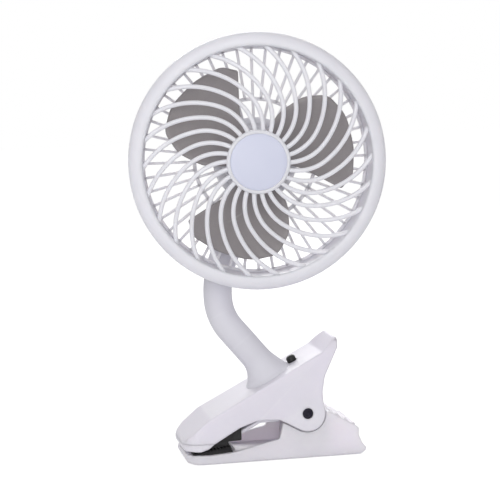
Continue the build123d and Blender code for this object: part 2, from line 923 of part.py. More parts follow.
def lower_pad_seat():
    return outline([
        (pad_front, pad_seat, 0),
        (pad_front, 9, 0),
        (pad_back, 9, 0),
        (pad_back, pad_seat, 0),
    ])


def make_lever_ridges():
    """Three half-round grip ridges across the squeeze lever."""
    x0, z0, x1, z1 = 13.0, 17.2, 20.4, 12.7
    ridges = []
    for i in range(ridge_count):
        part = i / (ridge_count - 1)
        x = x0 + part * (x1 - x0)
        z = z0 + part * (z1 - z0)
        ridges.append(cross_cylinder(ridge_radius, clip_width / 2 - 3, x, z))
    return ridges


def make_pivot_pin():
    pin = cross_cylinder(pin_radius, half_at(pivot_height) - pin_recess)
    return chamfer(pin.edges().filter_by(GeomType.CIRCLE), 0.4)


# ================================================================ spring
def coil_start():
    """Half the coil's length along the pin."""
    return (coil_turns + 0.25) * coil_pitch / 2


def spring_points():
    """Points of the coil at every quarter of a turn, from the lower leg to the upper."""
    for i in range(4 * coil_turns + 2):
        angle = math.radians(270 - 90 * i)
        x = coil_radius * math.cos(angle)
        z = pivot_height + coil_radius * math.sin(angle)
        yield (x, -coil_start() + coil_pitch * i / 4, z)


def least_gap(arcs):
    """Smallest space between neighbouring turns, measured on points along the coil."""
    points = [arc @ (k / 12) for arc in arcs for k in range(12)]
    apart = [
        (a - b).length
        for i, a in enumerate(points)
        for b in points[i + 24:i + 72]
    ]
    return min(apart) - 2 * wire_radius


def make_jaw_spring():
    """Torsion spring: a straight leg along the lever, the coil about the pin and a leg up the housing."""
    points = [Vector(*p) for p in spring_points()]
    lower = Line((leg_along, points[0].Y, points[0].Z), points[0])
    arcs = []
    heading = lower % 1
    for start, end in zip(points, points[1:]):
        arc = TangentArc(start, end, tangent=heading)
        arcs.append(arc)
        heading = arc % 1
    upper = Line(points[-1], points[-1] + heading * leg_up)
    wire = Wire([edge for piece in [lower, *arcs, upper] for edge in piece.edges()])
    profile = Plane(origin=lower @ 0, z_dir=lower % 0) * Circle(wire_radius)
    print("spring: least gap between turns", round(least_gap(arcs), 2))
    return sweep(profile, path=wire)


# ================================================================ the model
def build():
    head_plane = Plane(
        origin=(head_x, head_y, head_z),
        x_dir=(math.cos(math.radians(head_turn)), math.sin(math.radians(head_turn)), 0),
        z_dir=(math.sin(math.radians(head_turn)), -math.cos(math.radians(head_turn)), 0),
    )
    head = head_plane.location
    nodes = {}
    nodes["guard_ring"] = head * make_guard_ring()
    nodes["front_grille"] = head * make_front_grille()
    nodes["centre_cap"] = head * make_centre_cap()
    nodes["rear_grille"] = head * make_rear_grille()
    nodes["motor_can"] = head * make_motor_can()
    nodes["motor_end_cap"] = head * make_motor_end_cap()
    nodes["motor_screws"] = placed(head, make_motor_screws())
    nodes["cover_screws"] = placed(head, make_cover_screws())
    nodes["motor_shaft"] = head * make_motor_shaft()
    nodes["blade_hub"] = head * make_blade_hub()
    for i, blade in enumerate(blade_set()):
        nodes[f"blade_{i + 1}"] = head * blade

    arcs = neck_arcs()
    boot = make_neck_boot(arcs[0])
    for i, arc in enumerate(arcs[1:-1]):
        nodes[f"neck_link_{i + 1}"] = make_neck_link(arc)
    ferrule = make_neck_ferrule(arcs[-1])
    nodes["motor_cover"] = one_solid(head * make_motor_cover() - ferrule)
    nodes["neck_ferrule"] = ferrule

    upper = make_upper_jaw(boot)
    nodes["upper_jaw"] = upper
    nodes["neck_boot"] = boot
    nodes["battery_cover"] = make_battery_cover()
    nodes["cover_screw"] = make_cover_screw()
    nodes["cell_left"] = make_cell(-cell_spread, False)
    nodes["cell_right"] = make_cell(cell_spread, True)
    nodes["battery_contacts"] = Compound(make_battery_contacts())
    nodes["contact_link"] = link_box(0)
    nodes["power_button"] = make_power_button()
    nodes["switch_body"] = make_switch_body()
    nodes["lower_jaw"] = make_lower_jaw()
    nodes["pivot_pin"] = make_pivot_pin()
    nodes["jaw_spring"] = make_jaw_spring()
    nodes["upper_pad"] = make_upper_pad()
    nodes["lower_pad"] = make_lower_pad()
    return nodes


os.makedirs("parts", exist_ok=True)
for name, solid in build().items():
    export_step(solid, f"parts/{name}.step")
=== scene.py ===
import bpy
import bmesh
import json
import math
from mathutils import Matrix, Vector


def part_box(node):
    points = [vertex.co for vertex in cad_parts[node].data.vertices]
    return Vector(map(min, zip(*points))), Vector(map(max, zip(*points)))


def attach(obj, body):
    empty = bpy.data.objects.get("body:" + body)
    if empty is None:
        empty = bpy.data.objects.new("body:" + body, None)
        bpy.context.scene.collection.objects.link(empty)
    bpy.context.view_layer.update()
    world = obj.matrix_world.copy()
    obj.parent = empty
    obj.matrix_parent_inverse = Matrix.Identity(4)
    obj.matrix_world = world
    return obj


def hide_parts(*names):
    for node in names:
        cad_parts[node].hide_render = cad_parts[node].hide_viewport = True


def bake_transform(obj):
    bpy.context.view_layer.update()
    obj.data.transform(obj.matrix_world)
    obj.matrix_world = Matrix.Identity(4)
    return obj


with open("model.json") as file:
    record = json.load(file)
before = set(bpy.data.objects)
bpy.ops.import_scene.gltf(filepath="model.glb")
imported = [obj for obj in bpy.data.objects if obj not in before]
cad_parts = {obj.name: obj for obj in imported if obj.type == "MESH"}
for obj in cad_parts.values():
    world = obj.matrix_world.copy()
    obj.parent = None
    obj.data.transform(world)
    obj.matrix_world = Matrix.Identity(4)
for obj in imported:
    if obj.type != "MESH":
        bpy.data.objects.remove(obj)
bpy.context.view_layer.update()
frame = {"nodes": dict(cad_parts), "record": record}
scene = bpy.context.scene
MM = 0.001

# ---------------------------------------------------------------- where things are, in millimetres
HEAD_CENTRE = Vector((-17.7, -12.0, 128.9))
HEAD_TURN = math.radians(-6.0)
NECK_BALLS = [
    Vector((-20.6, 0.0, 44.2)),
    Vector((-29.3, 2.6, 55.0)),
    Vector((-33.7, 7.6, 67.0)),
    Vector((-32.2, 10.9, 79.5)),
    Vector((-25.2, 11.6, 94.0)),
]
NECK_FOOT = Vector((-14.2, 0.0, 34.2))
NECK_TOP = Vector((-19.2, 11.3, 108.0))
NECK_LEAN = math.radians(116.4)
NECK_RADIUS = 6.3
ARC_PIECES = 24             # steps of the neck's middle line from one ball to the next
BOOT_STEPS = [              # distance from the clip, radius of the sleeve there
    (0, 10.6),
    (0.6, 9.9),
    (1.3, 9.4),
    (2.2, 8.95),
    (3.2, 8.45),
    (4.2, 7.95),
    (5.2, 7.5),
    (6.2, 7.1),
    (7.2, 6.78),
    (8.2, 6.53),
    (9.4, 6.38),
    (11.0, NECK_RADIUS),
]
BOOT_ROOT = ((-0.9, 9.5), (-0.3, 10.9))     # the same for the end that sits in the clip
BOOT_FLARE = (0.0, 0.3, 0.6, 0.95, 1.3)     # distances of the close rings of its flare
PIVOT_HEIGHT = 19.0
PIN_RADIUS = 2.35
SMALL_SEGMENTS = 64         # round the pin and the button
JAW_LINE = ((-43.4, 18.95), (7.7, 45.2))    # the upper jaw's top line, x and z of its ends
BUTTON_X = -3.0
FIN_FOOT = (17.53, 6.0)     # half width and height where the upper jaw's sides start
FIN_TOP = (14.42, 51.3)     # the same at the fin's top
FIN_ROUNDING = 8.5
GRIP_GROOVES = 11
GROOVE_RADIUS = 0.45
GRIP_BITES = {              # body, and x and z where the grooves start and end
    "upper_pad": ("upper_clip", (-50.4, 5.0), (-35.0, 7.15)),
    "lower_pad": ("lower_clip", (-50.4, 4.83), (-34.4, 6.95)),
}

# fan head, in its own frame: x to the right, y up, z towards the front, 0 at the split of the guards
RING = {
    "outer": 55.0,          # outside of the wide front ring
    "inner": 48.9,          # its inside, round the front grille
    "front": 7.5,
    "back": -2.0,           # where it ends on the rear rim
    "rim": 53.4,            # outside of the rear rim, behind the wide ring
    "rim_end": 51.0,        # outside of the rear rim at its back
    "seat": 49.2,           # inside of the rear rim, round the rear grille
    "depth": -14.0,         # back of the rear rim and of the rear grille
}
RING_SEGMENTS = 192
GRILLE_FRONT = 5.6          # front of the grille's edge
GRILLE_DOME = 3.2           # how far the ribs' dome rises from its edge to its middle
RIB_WIDTH = 1.9
RIB_DEPTH = 2.2
RIB_BENDS = ((0.358, 53.0), (0.633, 48.0))      # radius as a share of the ring's, and degrees
RIB_FIRST = -0.0524         # angle of the first rib, in radians
CAP_RADIUS = 12.0
HUB_TOP = 8.31              # front of the grille's hub, which its rim and the cap just pass
CAP_SEAT = HUB_TOP - 2.2    # floor of the hub's recess, which the centre cap sits on
PLATE_RADIUS = 18.4         # the rear grille's round plate, which carries the motor
PLATE_DEPTH = 1.8
BLADE_MIDDLE = -6.0         # height of a blade's middle sheet on its own x axis
BLADE_PITCH = math.radians(13.0)
BLADE_CAMBER = 75.0         # radius of the sheet's bend
BLADE_HALF = 1.2            # half of a blade's thickness
BLADE_EDGE = 0.95           # how wide its rounded edge is
BLADE_REST = math.radians(22.2)
BLADE_CENTRE = Vector((22.0, -2.0))
BLADE_INNER = (0.94, 0.86, 0.74, 0.60, 0.45, 0.30, 0.15)    # rings inside the edge, as shares of it
BLADE_CORNERS = [            # outline: x, y, rounding
    (2.9, -0.9, 0),
    (16.9, -11.6, 18),
    (28.7, -26.6, 1.2),
    (35.6, -23.7, 6),
    (41.2, -12.5, 25),
    (43.5, 2.2, 18),
    (39.4, 13.1, 7),
    (29.2, 17.0, 12),
    (17.0, 15.0, 14),
    (7.9, 8.7, 6),
    (3.4, 3.0, 0),
]


def head_matrix():
    """From the fan head's own frame to the object's frame, and from millimetres to metres."""
    right = Vector((math.cos(HEAD_TURN), math.sin(HEAD_TURN), 0))
    front = Vector((math.sin(HEAD_TURN), -math.cos(HEAD_TURN), 0))
    up = front.cross(right)
    turn = Matrix((right, up, front)).transposed().to_4x4()
    return Matrix.Translation(HEAD_CENTRE * MM) @ turn @ Matrix.Scale(MM, 4)


def axis_matrix(origin, direction):
    """From a frame whose Z runs along a direction at a point, to the object's frame in metres."""
    turn = Vector(direction).to_track_quat("Z", "Y").to_matrix().to_4x4()
    return Matrix.Translation(Vector(origin) * MM) @ turn @ Matrix.Scale(MM, 4)


HEAD = head_matrix()
CLIP = Matrix.Scale(MM, 4)


# ---------------------------------------------------------------- helpers
def new_object(name, data):
    """A new object in the scene, at the origin."""
    obj = bpy.data.objects.new(name, data)
    scene.collection.objects.link(obj)
    return obj


def mesh_from(name, points, faces, matrix):
    """A closed smooth mesh from points in millimetres, its faces pointing outwards."""
    merge = 0.002
    mesh = bpy.data.meshes.new(name)
    mesh.from_pydata([tuple(p) for p in points], [], faces)
    bm = bmesh.new()
    bm.from_mesh(mesh)
    bmesh.ops.remove_doubles(bm, verts=bm.verts, dist=merge)
    bmesh.ops.dissolve_degenerate(bm, edges=bm.edges, dist=merge / 4)
    bmesh.ops.recalc_face_normals(bm, faces=bm.faces)
    bm.to_mesh(mesh)
    bm.free()
    mesh.transform(matrix)
    mesh.shade_smooth()
    return new_object(name, mesh)


def crease(obj, degrees):
    """Keeps edges sharper than an angle as edges, and shades the rest smooth."""
    obj.data.set_sharp_from_angle(angle=math.radians(degrees))
    return obj


def rounded(corners, step=12.0, spacing=None):
    """Points round a closed line of corners (x, y, rounding), each corner an arc of steps in degrees.

    With a spacing, the straight runs get points too, no further apart than that.
    """
    points = []
    for i, (x, y, radius) in enumerate(corners):
        corner = Vector((x, y))
        arrive = (corner - Vector(corners[i - 1][:2])).normalized()
        leave = (Vector(corners[(i + 1) % len(corners)][:2]) - corner).normalized()
        if radius <= 0:
            points.append(corner)
            continue
        turn = math.atan2(arrive.x * leave.y - arrive.y * leave.x, arrive.dot(leave))
        side = math.copysign(1.0, turn)
        start = corner - arrive * radius * math.tan(abs(turn) / 2)
        spoke = Vector((arrive.y, -arrive.x)) * side * radius
        centre = start - spoke
        count = max(2, math.ceil(math.degrees(abs(turn)) / step))
        for k in range(count + 1):
            angle = turn * k / count
            points.append(centre + Matrix.Rotation(angle, 2) @ spoke)
    if spacing is None:
        return points
    filled = []
    for a, b in zip(points, points[1:] + points[:1]):
        pieces = max(1, math.ceil((b - a).length / spacing))
        filled += [a.lerp(b, k / pieces) for k in range(pieces)]
    return filled


def turned(name, corners, matrix, segments=96, step=12.0):
    """A turned solid from a closed outline of (radius, height, rounding)."""
    on_axis = 1e-6
    sharp = 35
    profile = rounded(corners, step)
    points = []
    faces = []
    count = len(profile)
    for i in range(segments):
        angle = 2 * math.pi * i / segments
        for radius, height in profile:
            radius = max(radius, 0)
            points.append((radius * math.cos(angle), radius * math.sin(angle), height))
    for i in range(segments):
        j = (i + 1) % segments
        for k in range(count):
            m = (k + 1) % count
            if profile[k].x < on_axis and profile[m].x < on_axis:
                continue
            faces.append((i * count + k, i * count + m, j * count + m, j * count + k))
    return crease(mesh_from(name, points, faces, matrix), sharp)


def cad_copy(node, name):
    """A merged copy of a CAD node's mesh, which is in metres."""
    same_spot = 2e-7
    mesh = frame["nodes"][node].data.copy()
    mesh.name = name
    mesh.materials.clear()
    bm = bmesh.new()
    bm.from_mesh(mesh)
    bmesh.ops.remove_doubles(bm, verts=bm.verts, dist=same_spot)
    bm.to_mesh(mesh)
    bm.free()
    return new_object(name, mesh)


def apply_modifiers(obj):
    """Turns an object and its modifiers into a plain mesh."""
    graph = bpy.context.evaluated_depsgraph_get()
    mesh = bpy.data.meshes.new_from_object(obj.evaluated_get(graph))
    mesh.name = obj.name
    plain = new_object(obj.name + "_mesh", mesh)
    name = obj.name
    bpy.data.objects.remove(obj)
    plain.name = name
    return plain


def finish_piece(obj, body, slot, *nodes):
    """Gives a piece its material, its body and the CAD nodes that it stands for."""
    obj.data.materials.clear()
    obj.data.materials.append(MATERIALS[slot])
    if body:
        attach(obj, body)
    if nodes:
        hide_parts(*nodes)


# ---------------------------------------------------------------- shader groups
def link(tree, a, b):
    """Joins an output to an input."""
    tree.links.new(a, b)


def shader_group(name, inputs, outputs):
    """A shader node group with its ends: inputs with their defaults, and outputs, all of them values."""
    tree = bpy.data.node_groups.new(name, "ShaderNodeTree")
    for label, value in inputs.items():
        socket = tree.interface.new_socket(label, in_out="INPUT", socket_type="NodeSocketFloat")
        socket.default_value = value
    for label in outputs:
        tree.interface.new_socket(label, in_out="OUTPUT", socket_type="NodeSocketFloat")
    return tree, tree.nodes.new("NodeGroupInput"), tree.nodes.new("NodeGroupOutput")


def noise_at(tree, scale, detail, seed=None):
    """Noise on Object coordinates; a seed gives a pattern of its own."""
    place = tree.nodes.new("ShaderNodeTexCoord")
    noise = tree.nodes.new("ShaderNodeTexNoise")
    noise.inputs["Detail"].default_value = detail
    if seed is not None:
        noise.noise_dimensions = "4D"
        noise.inputs["W"].default_value = seed
    link(tree, place.outputs["Object"], noise.inputs["Vector"])
    if isinstance(scale, float):
        noise.inputs["Scale"].default_value = scale
    else:
        link(tree, scale, noise.inputs["Scale"])
    return noise.outputs["Fac"]


def product(tree, a, b):
    """One value times another."""
    times = tree.nodes.new("ShaderNodeMath")
    times.operation = "MULTIPLY"
    link(tree, a, times.inputs[0])
    link(tree, b, times.inputs[1])
    return times.outputs[0]


def moulded_skin():
    """Fine spark-eroded grain, slow waviness and faint blotches of moulded plastic."""
    tree, start, end = shader_group(
        "MouldedSkin", {"Grain Size": 3500.0, "Wave Size": 60.0}, ["Grain", "Wave", "Blotch"]
    )
    link(tree, noise_at(tree, start.outputs["Grain Size"], 3.0), end.inputs["Grain"])
    link(tree, noise_at(tree, start.outputs["Wave Size"], 3.0), end.inputs["Wave"])
    link(tree, noise_at(tree, start.outputs["Wave Size"], 6.0, 3.7), end.inputs["Blotch"])
    return tree


def rubbed_edges():
    """Rubbed edges: where the surface turns sharply, broken up by noise."""
    tree, start, end = shader_group(
        "RubbedEdges", {"Low": 0.52, "High": 0.60, "Break Up": 400.0}, ["Mask"]
    )
    shape = tree.nodes.new("ShaderNodeNewGeometry")
    spread = tree.nodes.new("ShaderNodeMapRange")
    link(tree, shape.outputs["Pointiness"], spread.inputs["Value"])
    link(tree, start.outputs["Low"], spread.inputs["From Min"])
    link(tree, start.outputs["High"], spread.inputs["From Max"])
    patches = noise_at(tree, start.outputs["Break Up"], 5.0)
    link(tree, product(tree, spread.outputs["Result"], patches), end.inputs["Mask"])
    return tree


def settled_dust():
    """Dust that settles on what faces up."""
    tree, start, end = shader_group("SettledDust", {"Amount": 0.3, "Patch Size": 90.0}, ["Mask"])
    shape = tree.nodes.new("ShaderNodeNewGeometry")
    split = tree.nodes.new("ShaderNodeSeparateXYZ")
    link(tree, shape.outputs["Normal"], split.inputs[0])
    up = tree.nodes.new("ShaderNodeMapRange")
    up.inputs["From Min"].default_value = 0.3
    link(tree, split.outputs["Z"], up.inputs["Value"])
    patches = noise_at(tree, start.outputs["Patch Size"], 8.0)
    lying = product(tree, up.outputs["Result"], patches)
    link(tree, product(tree, lying, start.outputs["Amount"]), end.inputs["Mask"])
    return tree


SKIN = moulded_skin()
RUB = rubbed_edges()
DUST = settled_dust()
DUST_TONE = (0.62, 0.60, 0.57)
SINK_BY_COLOUR = (1.0, 0.93, 0.90)      # how deep red, green and blue light go, as shares of sink


def add_group(tree, group, **values):
    """A shader group placed in a material with its own values; _ stands for a space in their names."""
    node = tree.nodes.new("ShaderNodeGroup")
    node.node_tree = group
    for label, value in values.items():
        node.inputs[label.replace("_", " ")].default_value = value
    return node


def mix_colour(tree, factor, a, b):
    """From colour a at 0 to colour b at 1; each is three numbers or an output."""
    mix = tree.nodes.new("ShaderNodeMix")
    mix.data_type = "RGBA"
    link(tree, factor, mix.inputs["Factor"])
    for value, label in ((a, "A"), (b, "B")):
        if isinstance(value, tuple):
            mix.inputs[label].default_value = (*value, 1.0)
        else:
            link(tree, value, mix.inputs[label])
    return mix.outputs["Result"]


def spread_over(tree, value, low, high):
    """A noise value, whose middle part is spread over low..high."""
    node = tree.nodes.new("ShaderNodeMapRange")
    node.inputs["From Min"].default_value = 0.3
    node.inputs["From Max"].default_value = 0.7
    node.inputs["To Min"].default_value = low
    node.inputs["To Max"].default_value = high
    link(tree, value, node.inputs["Value"])
    return node.outputs["Result"]


def bump(tree, height, strength, distance, normal=None):
    """Relief from a height, over the relief of an earlier normal; the distance is in metres."""
    node = tree.nodes.new("ShaderNodeBump")
    node.inputs["Strength"].default_value = strength
    node.inputs["Distance"].default_value = distance
    link(tree, height, node.inputs["Height"])
    if normal is not None:
        link(tree, normal, node.inputs["Normal"])
    return node.outputs["Normal"]


def principled(name):
    """A new material with its tree and its Principled shader."""
    material = bpy.data.materials.new(name)
    material.use_nodes = True
    tree = material.node_tree
    shader = next(n for n in tree.nodes if n.type == "BSDF_PRINCIPLED")
    return material, tree, shader


def plastic(
    name,
    colour,
    tint,
    worn,
    rough=(0.38, 0.50),
    grain=0.10,
    size=2600.0,
    dust=0.15,
    depth=0.0,
    sink=4.0,
    soft=0.0,
    shine=0.5,
):
    """Moulded plastic: two close tones, rubbed edges, fine grain and a little dust.

    depth is how much of the light goes into it and sink how deep, in millimetres. soft is the radius of
    its softened edges in millimetres, and shine the strength of its reflections.
    """
    material, tree, shader = principled(name)
    skin = add_group(tree, SKIN, Grain_Size=size, Wave_Size=45.0)
    rub = add_group(tree, RUB)
    film = add_group(tree, DUST, Amount=dust)
    base = mix_colour(tree, spread_over(tree, skin.outputs["Blotch"], 0.0, 1.0), colour, tint)
    base = mix_colour(tree, rub.outputs["Mask"], base, worn)
    base = mix_colour(tree, film.outputs["Mask"], base, DUST_TONE)
    link(tree, base, shader.inputs["Base Color"])
    link(tree, spread_over(tree, skin.outputs["Blotch"], *rough), shader.inputs["Roughness"])
    normal = None
    if soft:
        edges = tree.nodes.new("ShaderNodeBevel")
        edges.samples = 6
        edges.inputs["Radius"].default_value = soft * MM
        normal = edges.outputs["Normal"]
    normal = bump(tree, skin.outputs["Wave"], 0.08, 0.0006, normal)
    normal = bump(tree, skin.outputs["Grain"], grain, 0.00006, normal)
    link(tree, normal, shader.inputs["Normal"])
    shader.inputs["Specular IOR Level"].default_value = shine
    if depth:
        shader.inputs["Subsurface Weight"].default_value = depth
        shader.inputs["Subsurface Radius"].default_value = SINK_BY_COLOUR
        shader.inputs["Subsurface Scale"].default_value = sink * MM
    return material


def foam(name, colour, tint, worn):
    """Soft closed-cell foam: fine cells, a matt skin and paler rubbed edges."""
    material, tree, shader = principled(name)
    place = tree.nodes.new("ShaderNodeTexCoord")
    cells = tree.nodes.new("ShaderNodeTexVoronoi")
    cells.inputs["Scale"].default_value = 2200.0
    link(tree, place.outputs["Object"], cells.inputs["Vector"])
    skin = add_group(tree, SKIN, Grain_Size=1500.0, Wave_Size=120.0)
    rub = add_group(tree, RUB, Low=0.50, High=0.62)
    base = mix_colour(tree, spread_over(tree, skin.outputs["Blotch"], 0.0, 1.0), colour, tint)
    base = mix_colour(tree, cells.outputs["Distance"], base, tint)
    base = mix_colour(tree, rub.outputs["Mask"], base, worn)
    link(tree, base, shader.inputs["Base Color"])
    link(tree, spread_over(tree, skin.outputs["Grain"], 0.80, 0.95), shader.inputs["Roughness"])
    normal = bump(tree, cells.outputs["Distance"], 0.25, 0.00012)
    link(tree, bump(tree, skin.outputs["Wave"], 0.15, 0.0004, normal), shader.inputs["Normal"])
    shader.inputs["Sheen Weight"].default_value = 0.15
    shader.inputs["Sheen Roughness"].default_value = 0.5
    return material


def metal(name, colour, tint, rough=(0.25, 0.42)):
    """Metal with fine marks, which show in its gloss and its relief."""
    material, tree, shader = principled(name)
    marks = noise_at(tree, 900.0, 5.0)
    skin = add_group(tree, SKIN, Wave_Size=90.0)
    base = mix_colour(tree, spread_over(tree, skin.outputs["Blotch"], 0.0, 1.0), colour, tint)
    link(tree, base, shader.inputs["Base Color"])
    link(tree, spread_over(tree, marks, *rough), shader.inputs["Roughness"])
    link(tree, bump(tree, marks, 0.15, 0.00004), shader.inputs["Normal"])
    shader.inputs["Metallic"].default_value = 1.0
    return material


MATERIALS = {
    # guard: the thin rear bars let light go through them, and their colour is a paler copy of the guard's
    # white, painted light for the shade inside the guard
    "white_guard": plastic(
        "guard_white", (0.86, 0.85, 0.91), (0.82, 0.81, 0.87), (0.90, 0.89, 0.94),
        dust=0.08, depth=0.5,
    ),
    "guard_painted_light": plastic(
        "guard_white_painted_light", (0.92, 0.90, 0.95), (0.89, 0.87, 0.92), (0.94, 0.92, 0.96),
        dust=0.05, depth=0.5, sink=2.0,
    ),
    "cap_plastic": plastic(
        "cap_pale_blue", (0.68, 0.70, 0.84), (0.64, 0.66, 0.81), (0.74, 0.76, 0.88),
        grain=0.05,
    ),
    # clip: the lower jaw's thin walls let more light through than the upper one's, and its colour is a
    # paler, warmer copy of the housing's white, painted light for the shade in its throat
    "white_housing": plastic(
        "housing_white", (0.83, 0.795, 0.885), (0.80, 0.765, 0.855), (0.88, 0.86, 0.92),
        dust=0.08, depth=0.3, soft=1.1,
    ),
    "housing_painted_light": plastic(
        "housing_white_painted_light", (0.875, 0.815, 0.91), (0.85, 0.79, 0.885), (0.90, 0.87, 0.93),
        dust=0.08, depth=0.75, sink=6.0, soft=1.1,
    ),
    # neck
    "neck_sleeve": plastic(
        "neck_sleeve_grey", (0.75, 0.74, 0.80), (0.71, 0.70, 0.76), (0.80, 0.79, 0.85),
        rough=(0.55, 0.70), grain=0.2, dust=0.08,
    ),
    # blades and their hub
    "foam": foam("blade_foam", (0.385, 0.358, 0.357), (0.335, 0.311, 0.313), (0.46, 0.44, 0.43)),
    "hub_plastic": plastic("hub_white", (0.66, 0.66, 0.72), (0.62, 0.62, 0.68), (0.72, 0.72, 0.78)),
    # motor and screws
    "motor_metal": metal("motor_can", (0.58, 0.58, 0.60), (0.50, 0.50, 0.52)),
    "motor_plastic": plastic(
        "motor_black", (0.012, 0.012, 0.014), (0.020, 0.020, 0.022), (0.06, 0.06, 0.06)
    ),
    "screw_steel": metal("zinc_screw", (0.55, 0.55, 0.57), (0.45, 0.45, 0.48)),
    "shaft_steel": metal("ground_shaft", (0.62, 0.62, 0.64), (0.55, 0.55, 0.57), rough=(0.12, 0.25)),
    # grips, pin, spring and button
    "grip_rubber": plastic(
        "grip_rubber", (0.010, 0.010, 0.011), (0.018, 0.017, 0.018), (0.05, 0.05, 0.05),
        rough=(0.65, 0.85), grain=0.4, size=1400.0, dust=0.0, shine=0.2,
    ),
    "pin_black": metal("black_pin", (0.020, 0.018, 0.028), (0.035, 0.032, 0.042), rough=(0.30, 0.45)),
    "spring_steel": metal("spring_wire", (0.33, 0.33, 0.35), (0.22, 0.22, 0.24), rough=(0.25, 0.4)),
    "button_plastic": plastic(
        "button_black", (0.008, 0.008, 0.009), (0.014, 0.014, 0.015), (0.05, 0.05, 0.05),
        rough=(0.42, 0.55), grain=0.08, dust=0.0, shine=0.35,
    ),
    # switch, cells and contacts, which the housing hides
    "switch_plastic": plastic(
        "switch_black", (0.010, 0.010, 0.012), (0.018, 0.018, 0.020), (0.05, 0.05, 0.05)
    ),
    "cell_sleeve": plastic(
        "cell_sleeve", (0.03, 0.035, 0.04), (0.045, 0.05, 0.055), (0.2, 0.2, 0.2),
        rough=(0.2, 0.35),
    ),
    "contact_metal": metal("nickel_contact", (0.62, 0.60, 0.54), (0.52, 0.50, 0.44)),
}

# every CAD node gets the material of its slot, and the lower jaw the housing's paler copy, with painted
# light for its shaded throat
SLOT_OF = {s["node"]: s["material_slot"] for s in frame["record"]["subparts"]}
for node, obj in frame["nodes"].items():
    obj.data.materials.clear()
    obj.data.materials.append(MATERIALS["housing_painted_light" if node == "lower_jaw" else SLOT_OF[node]])


# ---------------------------------------------------------------- Geometry Nodes
def recipe(name, sizes):
    """A Geometry Nodes tree with a geometry, named sizes and a material as its inputs."""
    tree = bpy.data.node_groups.new(name, "GeometryNodeTree")
    face = tree.interface
    face.new_socket("Geometry", in_out="INPUT", socket_type="NodeSocketGeometry")
    for label, value in sizes.items():
        kind = "NodeSocketInt" if isinstance(value, int) else "NodeSocketFloat"
        face.new_socket(label, in_out="INPUT", socket_type=kind).default_value = value
    face.new_socket("Material", in_out="INPUT", socket_type="NodeSocketMaterial")
    face.new_socket("Geometry", in_out="OUTPUT", socket_type="NodeSocketGeometry")
    return tree, tree.nodes.new("NodeGroupInput"), tree.nodes.new("NodeGroupOutput")


def add(tree, kind, inputs=None, **settings):
    """A node with its settings, and its inputs given as values or as other nodes' outputs."""
    node = tree.nodes.new(kind)
    for label, value in settings.items():
        setattr(node, label, value)
    for label, value in (inputs or {}).items():
        socket = node.inputs[label]
        if isinstance(value, bpy.types.NodeSocket):
            tree.links.new(value, socket)
        else:
            socket.default_value = value
    return node


def math_value(tree, operation, a, b):
    """A Math node's result; a and b are numbers or outputs."""
    return add(tree, "ShaderNodeMath", {0: a, 1: b}, operation=operation).outputs[0]


def soft_bar(tree, line, width, depth, rounding):
    """A bar of rounded section along a line, with closed ends: width lies flat, depth stands up."""
    level = add(tree, "GeometryNodeSetCurveNormal", {"Curve": line}, mode="Z_UP")
    section = add(tree, "GeometryNodeCurvePrimitiveQuadrilateral", {"Width": width, "Height": depth})
    section = add(
        tree,
        "GeometryNodeFilletCurve",
        {"Curve": section.outputs[0], "Count": 3, "Radius": rounding, "Limit Radius": True},
        mode="POLY",
    )
    swept = add(
        tree,
        "GeometryNodeCurveToMesh",
        {"Curve": level.outputs[0], "Profile Curve": section.outputs[0], "Fill Caps": True},
    )
    return swept.outputs[0]


def around_axis(tree, geometry, count, first=0.0):
    """Copies of a geometry, evenly turned about the fan's axis."""
    spots = add(tree, "GeometryNodePoints", {"Count": count})
    index = add(tree, "GeometryNodeInputIndex").outputs[0]
    share = math_value(tree, "DIVIDE", index, count)
    angle = math_value(tree, "MULTIPLY", share, 2 * math.pi)
    angle = math_value(tree, "ADD", angle, first)
    turn = add(tree, "ShaderNodeCombineXYZ", {"Z": angle})
    return add(
        tree,
        "GeometryNodeInstanceOnPoints",
        {"Points": spots.outputs[0], "Instance": geometry, "Rotation": turn.outputs[0]},
    ).outputs[0]


def joined(tree, parts):
    """Several geometries as one, in their order."""
    node = tree.nodes.new("GeometryNodeJoinGeometry")
    for part in reversed(parts):
        tree.links.new(part, node.inputs[0])
    return node.outputs[0]


def close_recipe(tree, start, end, geometry):
    """The end of a recipe: real, smooth geometry in the given material."""
    whole = add(tree, "GeometryNodeRealizeInstances", {"Geometry": geometry})
    smooth = add(tree, "GeometryNodeSetShadeSmooth", {"Geometry": whole.outputs[0]})
    painted = add(
        tree,
        "GeometryNodeSetMaterial",
        {"Geometry": smooth.outputs[0], "Material": start.outputs["Material"]},
    )
    tree.links.new(painted.outputs[0], end.inputs[0])


def grow(name, data, tree, matrix, material):
    """Runs a recipe on a curve and keeps the result as a plain mesh."""
    sharp = 40
    obj = new_object(name, data)
    modifier = obj.modifiers.new("recipe", "NODES")
    modifier.node_group = tree
    keys = {item.name: item.identifier for item in tree.interface.items_tree if item.in_out == "INPUT"}
    modifier[keys["Material"]] = material
    plain = apply_modifiers(obj)
    plain.data.transform(matrix)
    bm = bmesh.new()
    bm.from_mesh(plain.data)
    bmesh.ops.recalc_face_normals(bm, faces=bm.faces)
    bm.to_mesh(plain.data)
    bm.free()
    return crease(plain, sharp)


def poly_line(name, points):
    """A curve object's data through points in millimetres."""
    data = bpy.data.curves.new(name, "CURVE")
    data.dimensions = "3D"
    line = data.splines.new("POLY")
    line.points.add(len(points) - 1)
    for spot, point in zip(line.points, points):
        spot.co = (*point, 1.0)
    return data


